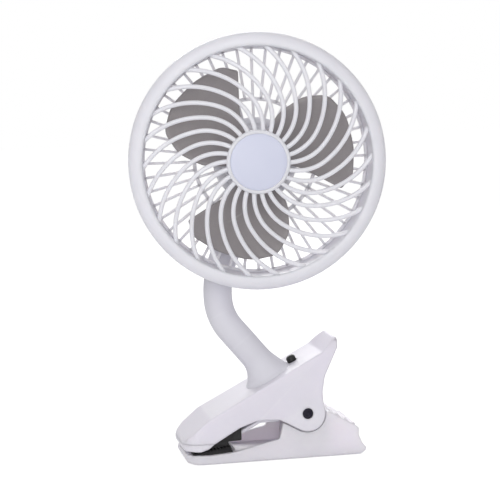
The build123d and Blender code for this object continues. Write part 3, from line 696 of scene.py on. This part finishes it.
# ---------------------------------------------------------------- guard of the fan head
def make_guard_ring():
    """The wide rounded front ring and the stepped rim behind it."""
    inner, outer, rim, seat = RING["inner"], RING["outer"], RING["rim"], RING["seat"]
    front, back, depth = RING["front"], RING["back"], RING["depth"]
    profile = [
        (inner, GRILLE_FRONT - 0.1, 0),
        (inner + 1.3, GRILLE_FRONT - 0.3, 0),
        (inner + 1.2, -1.0, 0.3),
        (51.4, -3.0, 0.5),
        (seat, depth + 1.8, 0.3),
        (seat, depth, 0.3),
        (RING["rim_end"], depth, 1.2),
        (rim, back - 0.1, 0.15),
        (rim + 0.1, back, 0.1),
        (outer, back, 0.5),
        (outer, front, 4.4),
        (inner, front - 0.9, 1.2),
    ]
    ring = turned("guard_ring_shell", profile, HEAD, segments=RING_SEGMENTS, step=9.0)
    finish_piece(ring, "head", "white_guard", "guard_ring")


def rib_line():
    """Middle line of a swirl rib: straight out of the hub, a tight bend, then a gentler one."""
    pieces = 16
    sphere = (RING["inner"] ** 2 + GRILLE_DOME**2) / (2 * GRILLE_DOME)
    centre = GRILLE_FRONT - 0.3 + GRILLE_DOME - sphere
    place = Vector((CAP_RADIUS, 0))
    heading = 0.0
    flat = [place.copy()]
    for share, turn in RIB_BENDS:
        step = math.radians(turn) / pieces
        chord = 2 * share * RING["outer"] * math.sin(step / 2)
        for _ in range(pieces):
            along = heading + step / 2
            place = place + Vector((math.cos(along), math.sin(along))) * chord
            heading += step
            flat.append(place.copy())
    low = RIB_DEPTH / 2
    return [(p.x, p.y, centre + math.sqrt(sphere**2 - p.length_squared) - low) for p in flat]


def make_front_grille():
    """The swirl ribs, the thin ring at their ends and the hub in their middle."""
    sizes = {
        "Rib Count": 26,
        "Rib Width": RIB_WIDTH,
        "Rib Depth": RIB_DEPTH,
        "Rib Rounding": 0.75,
        "First Rib": RIB_FIRST,
    }
    tree, start, end = recipe("SwirlGrille", sizes)
    got = start.outputs
    rib = soft_bar(tree, got["Geometry"], got["Rib Width"], got["Rib Depth"], got["Rib Rounding"])
    swirl = around_axis(tree, rib, got["Rib Count"], got["First Rib"])
    close_recipe(tree, start, end, swirl)
    ribs = grow("swirl_ribs", poly_line("rib", rib_line()), tree, HEAD, MATERIALS["white_guard"])
    finish_piece(ribs, "head", "white_guard", "front_grille")

    inside = RING["inner"] - 0.05
    outside = RING["inner"] + 1.15
    edge_profile = [
        (inside, GRILLE_FRONT - 3.0, 0.4),
        (outside, GRILLE_FRONT - 3.0, 0),
        (outside, GRILLE_FRONT - 0.05, 0),
        (inside, GRILLE_FRONT - 0.05, 0.3),
    ]
    edge = turned("grille_edge", edge_profile, HEAD, segments=RING_SEGMENTS)
    finish_piece(edge, "head", "white_guard", "front_grille")

    rim = CAP_RADIUS + 1.6
    recess = CAP_RADIUS + 0.02
    hub_profile = [
        (0, CAP_SEAT - 1.4, 0),
        (9.0, CAP_SEAT - 1.4, 0.3),
        (9.4, CAP_SEAT - 1.0, 0.3),
        (rim, CAP_SEAT - 1.0, 0.6),
        (rim, HUB_TOP + 0.3, 0.75),
        (recess, HUB_TOP + 0.3, 0.35),
        (recess, CAP_SEAT, 0),
        (0, CAP_SEAT, 0),
    ]
    hub = turned("grille_hub", hub_profile, HEAD)
    finish_piece(hub, "head", "white_guard", "front_grille")


def make_centre_cap():
    """The bare domed cap in the middle of the front."""
    rise = 0.5
    edge = 0.15
    steps = 12
    crown = (CAP_RADIUS**2 + rise**2) / (2 * rise)
    top = HUB_TOP + 0.45
    profile = [(0, CAP_SEAT, 0), (CAP_RADIUS, CAP_SEAT, 0), (CAP_RADIUS, top - rise - edge, 0)]
    for k in range(steps + 1):
        radius = (CAP_RADIUS - 0.25) * (1 - k / steps)
        profile.append((radius, top - crown + math.sqrt(crown**2 - radius**2), 0))
    cap = turned("cap_dome", profile, HEAD)
    finish_piece(cap, "head", "cap_plastic", "centre_cap")


def make_rear_grille():
    """Two rounds of straight bars between three flat rings."""
    sizes = {
        "Outer Bars": 48,
        "Inner Bars": 24,
        "Bar Width": 1.2,
        "Bar Depth": 1.7,
        "Bar Rounding": 0.45,
        "Plate Radius": PLATE_RADIUS,
        "Middle Radius": 26.3,
        "Edge Radius": 48.5,
        "Bar Level": RING["depth"] + PLATE_DEPTH / 2,
    }
    middle_width = 1.6
    edge_width = 1.5
    tree, start, end = recipe("RadialGuard", sizes)
    got = start.outputs
    level = got["Bar Level"]

    def spoke(first, last):
        """A bar between two distances from the axis."""
        ends = [add(tree, "ShaderNodeCombineXYZ", {"X": r, "Z": level}).outputs[0] for r in (first, last)]
        line = add(tree, "GeometryNodeCurvePrimitiveLine", {"Start": ends[0], "End": ends[1]})
        return soft_bar(tree, line.outputs[0], got["Bar Width"], got["Bar Depth"], got["Bar Rounding"])

    def hoop(radius, width):
        """A flat ring round the axis."""
        circle = add(tree, "GeometryNodeCurvePrimitiveCircle", {"Resolution": 144, "Radius": radius})
        lift = add(tree, "ShaderNodeCombineXYZ", {"Z": level})
        moved = add(
            tree, "GeometryNodeTransform", {"Geometry": circle.outputs[0], "Translation": lift.outputs[0]}
        )
        return soft_bar(tree, moved.outputs[0], width, got["Bar Depth"], got["Bar Rounding"])

    plate_edge = math_value(tree, "SUBTRACT", got["Plate Radius"], 1.0)
    outer = around_axis(tree, spoke(got["Middle Radius"], got["Edge Radius"]), got["Outer Bars"])
    inner = around_axis(tree, spoke(plate_edge, got["Middle Radius"]), got["Inner Bars"])
    hoops = [hoop(got["Middle Radius"], middle_width), hoop(got["Edge Radius"], edge_width)]
    close_recipe(tree, start, end, joined(tree, [outer, inner, *hoops]))
    # the recipe draws its own lines, so this short one only carries it
    seed = poly_line("seed", [(0, 0, 0), (1, 0, 0)])
    bars = grow("rear_bars", seed, tree, HEAD, MATERIALS["white_guard"])
    finish_piece(bars, "head", "white_guard", "rear_grille")
    # the slot stays the guard's, and the bars get its paler copy, with painted light for the shade inside
    # the guard
    bars.data.materials[0] = MATERIALS["guard_painted_light"]

    low = RING["depth"]
    high = low + PLATE_DEPTH
    groove = low + 1.45
    shaft_hole = 3.2
    plate_profile = [
        (shaft_hole, low, 0.2),
        (PLATE_RADIUS, low, 0),
        (PLATE_RADIUS, high, 0.6),
        (15.6, high, 0.3),
        (15.2, groove, 0.2),
        (14.4, groove, 0.2),
        (14.0, high, 0.3),
        (shaft_hole, high, 0.3),
    ]
    plate = turned("motor_plate", plate_profile, HEAD)
    finish_piece(plate, "head", "white_guard", "rear_grille")


# ---------------------------------------------------------------- blades
def blade_point(flat, height, turn):
    """A point over the blade's cambered middle sheet, turned to its place round the hub."""
    axis_y = -math.sin(BLADE_PITCH) * BLADE_CAMBER
    axis_z = BLADE_MIDDLE + math.cos(BLADE_PITCH) * BLADE_CAMBER
    across = flat.y - axis_y
    drop = math.sqrt(BLADE_CAMBER**2 - across**2)
    lift = height / BLADE_CAMBER
    point = Vector((flat.x, flat.y - across * lift, axis_z - drop + drop * lift))
    point.rotate(Matrix.Rotation(turn, 3, "Z"))
    return point


def blade_rings():
    """Rings of flat points, each with its height, over the rounded edge to the middle of one side."""
    rim = rounded(BLADE_CORNERS, step=9.0, spacing=1.3)
    count = len(rim)
    inward = []
    for i in range(count):
        along = (rim[(i + 1) % count] - rim[i - 1]).normalized()
        inward.append(Vector((-along.y, along.x)))
    area = sum(a.x * b.y - a.y * b.x for a, b in zip(rim, rim[1:] + rim[:1]))
    side = math.copysign(1.0, area)
    rings = []
    edge_steps = 4
    for k in range(edge_steps + 1):
        angle = math.pi / 2 * k / edge_steps
        inset = BLADE_EDGE * (1 - math.cos(angle)) * side
        rings.append(([p + n * inset for p, n in zip(rim, inward)], BLADE_HALF * math.sin(angle)))
    last = rings[-1][0]
    for share in BLADE_INNER:
        rings.append(([BLADE_CENTRE + (p - BLADE_CENTRE) * share for p in last], BLADE_HALF))
    return rings


def make_blades():
    """Three soft blades: both sides from the same rings, which meet in a rounded edge."""
    rings = blade_rings()
    count = len(rings[0][0])
    for number in range(3):
        turn = BLADE_REST + number * 2 * math.pi / 3
        points = []
        faces = []
        for side in (1, -1):
            base = len(points)
            for ring, height in rings:
                points += [blade_point(p, side * height, turn) for p in ring]
            points.append(blade_point(BLADE_CENTRE, side * BLADE_HALF, turn))
            for r in range(len(rings) - 1):
                for k in range(count):
                    m = (k + 1) % count
                    a = base + r * count
                    faces.append((a + k, a + m, a + count + m, a + count + k))
            last = base + (len(rings) - 1) * count
            faces += [(last + k, last + (k + 1) % count, len(points) - 1) for k in range(count)]
        petal = mesh_from(f"petal_{number + 1}", points, faces, HEAD)
        finish_piece(petal, "rotor", "foam", f"blade_{number + 1}")


def make_blade_hub():
    """The hub behind the centre cap: a groove round its foot and a shallow dish in its front."""
    hub_radius = 8.2
    groove_radius = 7.8
    profile = [
        (0, -9.6, 0),
        (hub_radius, -9.6, 0.8),
        (hub_radius, -8.0, 0.2),
        (groove_radius, -7.8, 0.2),
        (groove_radius, -7.2, 0.2),
        (hub_radius, -7.0, 0.2),
        (hub_radius, 2.6, 1.6),
        (5.6, 2.6, 0.3),
        (5.2, 2.1, 0.3),
        (1.9, 2.1, 0.2),
        (1.5, 2.5, 0.2),
        (0, 2.5, 0),
    ]
    hub = turned("blade_hub_shell", profile, HEAD)
    finish_piece(hub, "rotor", "hub_plastic", "blade_hub")


# ---------------------------------------------------------------- neck
def neck_path():
    """Points with headings, one arc from each ball to the next, and the balls' places among them."""
    place = NECK_FOOT.copy()
    heading = Vector((math.cos(NECK_LEAN), 0, math.sin(NECK_LEAN)))
    spots = []
    balls = []
    for target in [*NECK_BALLS, NECK_TOP]:
        chord = target - place
        bend = heading.angle(chord)
        side = (chord - heading * chord.dot(heading)).normalized()
        radius = chord.length / (2 * math.sin(bend))
        balls.append(len(spots))
        for k in range(ARC_PIECES):
            angle = 2 * bend * k / ARC_PIECES
            spots.append((
                place + radius * (math.sin(angle) * heading + (1 - math.cos(angle)) * side),
                math.cos(angle) * heading + math.sin(angle) * side,
            ))
        heading = math.cos(2 * bend) * heading + math.sin(2 * bend) * side
        place = target
    spots.append((place, heading))
    return spots, balls[1:]


def boot_radius(along):
    """How thick the sleeve is at a distance from the clip: it flares at its foot."""
    for (a, low), (b, high) in zip(BOOT_STEPS, BOOT_STEPS[1:]):
        if along <= b:
            return low + (high - low) * max(along - a, 0) / (b - a)
    return NECK_RADIUS


def neck_frames(spots):
    """Two directions across the neck at each spot, which turn with it without twisting."""
    side = Vector((0, 1, 0))
    frames = []
    for _, heading in spots:
        side = (side - heading * side.dot(heading)).normalized()
        frames.append((side.copy(), heading.cross(side)))
    return frames


def foot_rings(spot, across):
    """The sleeve's rings that sit in the clip and in the flare just over it."""
    place, heading = spot
    rings = [(place + heading * along, across, radius) for along, radius in BOOT_ROOT]
    rings += [(place + heading * along, across, boot_radius(along)) for along in BOOT_FLARE]
    return rings


def tube(name, rings):
    """A closed sleeve through rings of (place, directions across, radius)."""
    segments = 72
    sharp = 50
    points = []
    faces = []
    for place, (u, v), radius in rings:
        for k in range(segments):
            angle = 2 * math.pi * k / segments
            points.append(place + radius * (math.cos(angle) * u + math.sin(angle) * v))
    for r in range(len(rings) - 1):
        for k in range(segments):
            m = (k + 1) % segments
            a = r * segments
            faces.append((a + k, a + m, a + segments + m, a + segments + k))
    last = (len(rings) - 1) * segments
    faces.append(tuple(range(segments - 1, -1, -1)))
    faces.append(tuple(last + k for k in range(segments)))
    return crease(mesh_from(name, points, faces, CLIP), sharp)


def make_neck():
    """Five stretches of smooth sleeve, each bending over one ball, cut halfway between the balls."""
    spots, balls = neck_path()
    frames = neck_frames(spots)
    lengths = [0.0]
    for (a, _), (b, _) in zip(spots, spots[1:]):
        lengths.append(lengths[-1] + (b - a).length)
    cuts = [0] + [b + ARC_PIECES // 2 for b in balls[:-1]] + [len(spots) - 1]
    nodes = [
        ("neck_boot",),
        ("neck_link_1",),
        ("neck_link_2",),
        ("neck_link_3",),
        ("neck_link_4", "neck_ferrule"),
    ]
    over_flare = BOOT_FLARE[-1] + 0.2
    for number in range(5):
        rings = []
        run = list(range(cuts[number], cuts[number + 1] + 1))
        if number == 0:
            rings = foot_rings(spots[0], frames[0])
            run = [i for i in run if lengths[i] > over_flare]
        rings += [(spots[i][0], frames[i], boot_radius(lengths[i])) for i in run]
        sleeve = tube(f"neck_sleeve_{number + 1}", rings)
        finish_piece(sleeve, None, "neck_sleeve", *nodes[number])
        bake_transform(sleeve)


# ---------------------------------------------------------------- small pieces of the clip
def make_pin():
    """The dark pivot pin: broken edges and a shallow dimple in each end."""
    low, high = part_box("pivot_pin")
    half = (high.y - low.y) / MM / 2
    dimple = half - 0.35
    profile = [
        (0, -dimple, 0),
        (0.9, -dimple, 0.2),
        (1.15, -half, 0.15),
        (PIN_RADIUS, -half, 0.45),
        (PIN_RADIUS, half, 0.45),
        (1.15, half, 0.15),
        (0.9, dimple, 0.2),
        (0, dimple, 0),
    ]
    place = axis_matrix((0, 0, PIVOT_HEIGHT), (0, 1, 0))
    pin = turned("pivot_pin_turned", profile, place, segments=SMALL_SEGMENTS)
    finish_piece(pin, "lower_clip", "pin_black", "pivot_pin")


def make_button():
    """The push button: a short plunger with a domed top, square to the upper jaw's top line."""
    (front_x, front_z), (back_x, back_z) = JAW_LINE
    lean = math.atan2(back_z - front_z, back_x - front_x)
    foot = Vector((BUTTON_X, 0, front_z + (BUTTON_X - front_x) * math.tan(lean)))
    side = 2.1
    top = 2.75
    profile = [
        (0, -2.6, 0),
        (side, -2.6, 0.2),
        (side, 2.1, 1.3),
        (1.1, top, 1.0),
        (0, top, 0),
    ]
    place = axis_matrix(foot, (-math.sin(lean), 0, math.cos(lean)))
    button = turned("button_plunger", profile, place, segments=SMALL_SEGMENTS)
    finish_piece(button, "button", "button_plastic", "power_button")


def reshape(obj, cutter, operation):
    """Cuts or trims a piece with another closed shape, cleans the cut and shades its flats evenly."""
    merge = 0.04 * MM
    sliver = 0.02 * MM
    sharp = 30
    change = obj.modifiers.new("shape", "BOOLEAN")
    change.operation = operation
    change.solver = "EXACT"
    change.object = cutter
    result = apply_modifiers(obj)
    data = cutter.data
    bpy.data.objects.remove(cutter)
    bpy.data.meshes.remove(data)
    bm = bmesh.new()
    bm.from_mesh(result.data)
    bmesh.ops.remove_doubles(bm, verts=bm.verts, dist=merge)
    bmesh.ops.dissolve_degenerate(bm, edges=bm.edges, dist=sliver)
    bm.to_mesh(result.data)
    bm.free()
    result.data.shade_smooth()
    crease(result, sharp)
    flats = result.modifiers.new("flats", "WEIGHTED_NORMAL")
    flats.keep_sharp = True
    flats.weight = 100
    return apply_modifiers(result)


def make_upper_jaw():
    """The upper jaw, trimmed to a front view in which the fin's top corners are rounded off."""
    foot, foot_height = FIN_FOOT
    top, top_height = FIN_TOP
    nose, tail = -70.0, 40.0
    corners = [
        (-30.0, -5.0, 0),
        (30.0, -5.0, 0),
        (foot, foot_height, 0),
        (top, top_height, FIN_ROUNDING),
        (-top, top_height, FIN_ROUNDING),
        (-foot, foot_height, 0),
    ]
    sides = rounded(corners, step=4.0)
    count = len(sides)
    points = [(x, p.x, p.y) for x in (nose, tail) for p in sides]
    faces = [tuple(range(count)), tuple(range(2 * count - 1, count - 1, -1))]
    faces += [(k, (k + 1) % count, count + (k + 1) % count, count + k) for k in range(count)]
    outline = mesh_from("fin_outline", points, faces, CLIP)
    jaw = reshape(cad_copy("upper_jaw", "upper_jaw_soft"), outline, "INTERSECT")
    finish_piece(jaw, "upper_clip", "white_housing", "upper_jaw")


def make_spring():
    """The torsion spring, whose legs reach the lever and the fin: a smooth-shaded copy of the CAD spring.
    """
    sharp = 50
    spring = cad_copy("jaw_spring", "jaw_spring_wire")
    spring.data.shade_smooth()
    crease(spring, sharp)
    finish_piece(spring, None, "spring_steel", "jaw_spring")
    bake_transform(spring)


def groove_bars(first, last):
    """Round bars across the clip, evenly spaced along a bite line, which cut grooves into a grip."""
    first, last = Vector(first), Vector(last)
    sides = 10
    half = 17.0
    points = []
    faces = []
    for k in range(GRIP_GROOVES):
        middle = first.lerp(last, (k + 0.5) / GRIP_GROOVES)
        start = len(points)
        for y in (-half, half):
            for m in range(sides):
                angle = 2 * math.pi * m / sides
                x = middle.x + GROOVE_RADIUS * math.cos(angle)
                points.append((x, y, middle.y + GROOVE_RADIUS * math.sin(angle)))
        faces.append(tuple(start + m for m in range(sides)))
        faces.append(tuple(start + sides + m for m in reversed(range(sides))))
        for m in range(sides):
            n = (m + 1) % sides
            faces.append((start + m, start + n, start + sides + n, start + sides + m))
    return mesh_from("groove_bars", points, faces, CLIP)


def make_grips():
    """The black rubber grips, with grooves across them where they bite."""
    for node, (body, first, last) in GRIP_BITES.items():
        bars = groove_bars(first, last)
        grip = reshape(cad_copy(node, node + "_grooved"), bars, "DIFFERENCE")
        finish_piece(grip, body, "grip_rubber", node)


# ---------------------------------------------------------------- the photograph's camera
def aim_camera():
    """The camera as found from the photograph: a long lens, a little from the left and from above."""
    azimuth = math.radians(-10.0)
    elevation = math.radians(6.0)
    roll = math.radians(2.0)
    distance = 800.0
    target = Vector((-20.06, 0.0, 89.66))
    right = Vector((math.cos(azimuth), math.sin(azimuth), 0))
    back = Vector((
        math.sin(azimuth) * math.cos(elevation),
        -math.cos(azimuth) * math.cos(elevation),
        math.sin(elevation),
    ))
    up = back.cross(right)
    turned_right = right * math.cos(roll) - up * math.sin(roll)
    turned_up = up * math.cos(roll) + right * math.sin(roll)
    turn = Matrix((turned_right, turned_up, back)).transposed().to_4x4()
    sensor = 36.0
    picture = 500.0
    focal_in_pixels = 1838.0
    data = bpy.data.cameras.new("photo_camera")
    data.sensor_width = sensor
    data.lens = focal_in_pixels / picture * sensor
    data.clip_start = 0.05
    data.clip_end = 20.0
    camera = new_object("photo_camera", data)
    camera.matrix_world = Matrix.Translation((target + back * distance) * MM) @ turn
    scene.camera = camera


# ---------------------------------------------------------------- floor and light
def seen_directly(tree):
    """1 where the camera, a reflection or glass sees it, 0 where it only gives light."""
    path = tree.nodes.new("ShaderNodeLightPath")
    both = tree.nodes.new("ShaderNodeMath")
    both.operation = "MAXIMUM"
    link(tree, path.outputs["Is Camera Ray"], both.inputs[0])
    link(tree, path.outputs["Is Glossy Ray"], both.inputs[1])
    all_three = tree.nodes.new("ShaderNodeMath")
    all_three.operation = "MAXIMUM"
    link(tree, both.outputs[0], all_three.inputs[0])
    link(tree, path.outputs["Is Transmission Ray"], all_three.inputs[1])
    return all_three.outputs[0]


def lay_floor():
    """A white floor: the lamps light it, and a glow of its own keeps it white where it is seen."""
    size = 3.0
    drop = -0.0004
    material = bpy.data.materials.new("studio_white")
    material.use_nodes = True
    tree = material.node_tree
    tree.nodes.clear()
    out = tree.nodes.new("ShaderNodeOutputMaterial")
    matt = tree.nodes.new("ShaderNodeBsdfDiffuse")
    matt.inputs["Color"].default_value = (0.90, 0.90, 0.91, 1)
    glow = tree.nodes.new("ShaderNodeEmission")
    glow.inputs["Color"].default_value = (1, 1, 1, 1)
    glow.inputs["Strength"].default_value = 1.56
    # how much of what is seen is glow, and the rest is the lamps' light
    share = tree.nodes.new("ShaderNodeMath")
    share.operation = "MULTIPLY"
    share.inputs[1].default_value = 0.55
    link(tree, seen_directly(tree), share.inputs[0])
    mix = tree.nodes.new("ShaderNodeMixShader")
    link(tree, share.outputs[0], mix.inputs[0])
    link(tree, matt.outputs[0], mix.inputs[1])
    link(tree, glow.outputs[0], mix.inputs[2])
    link(tree, mix.outputs[0], out.inputs["Surface"])
    corners = [(-size, -size, drop), (size, -size, drop), (size, size, drop), (-size, size, drop)]
    mesh = bpy.data.meshes.new("floor")
    mesh.from_pydata(corners, [], [(0, 1, 2, 3)])
    floor = new_object("floor", mesh)
    floor.data.materials.append(material)


def area_light(name, place, aim, size, watts):
    """A round lamp at a place, turned towards another."""
    data = bpy.data.lights.new(name, "AREA")
    data.shape = "DISK"
    data.size = size
    data.energy = watts
    lamp = new_object(name, data)
    lamp.location = place
    lamp.rotation_euler = (Vector(aim) - Vector(place)).to_track_quat("-Z", "Y").to_euler()


def light_studio():
    """A soft white surrounding and three lamps."""
    world = bpy.data.worlds.new("studio")
    scene.world = world
    world.use_nodes = True
    tree = world.node_tree
    tree.nodes.clear()
    out = tree.nodes.new("ShaderNodeOutputWorld")
    soft = tree.nodes.new("ShaderNodeBackground")
    soft.inputs["Color"].default_value = (1, 1, 1, 1)
    soft.inputs["Strength"].default_value = 0.40
    seen = tree.nodes.new("ShaderNodeBackground")
    seen.inputs["Color"].default_value = (1, 1, 1, 1)
    seen.inputs["Strength"].default_value = 1.0
    mix = tree.nodes.new("ShaderNodeMixShader")
    link(tree, seen_directly(tree), mix.inputs[0])
    link(tree, soft.outputs[0], mix.inputs[1])
    link(tree, seen.outputs[0], mix.inputs[2])
    link(tree, mix.outputs[0], out.inputs["Surface"])
    middle = (-0.02, 0, 0.09)
    area_light("key", (-0.5, -0.9, 0.9), middle, 0.7, 2.5)
    area_light("front", (-0.28, -1.25, 0.30), middle, 0.7, 5.0)
    area_light("rim", (0.1, 0.9, 0.6), middle, 0.6, 4.5)


aim_camera()
make_guard_ring()
make_front_grille()
make_centre_cap()
make_rear_grille()
make_blades()
make_blade_hub()
make_neck()
make_pin()
make_button()
make_upper_jaw()
make_grips()
make_spring()

scene.view_settings.view_transform = "Standard"
lay_floor()
light_studio()
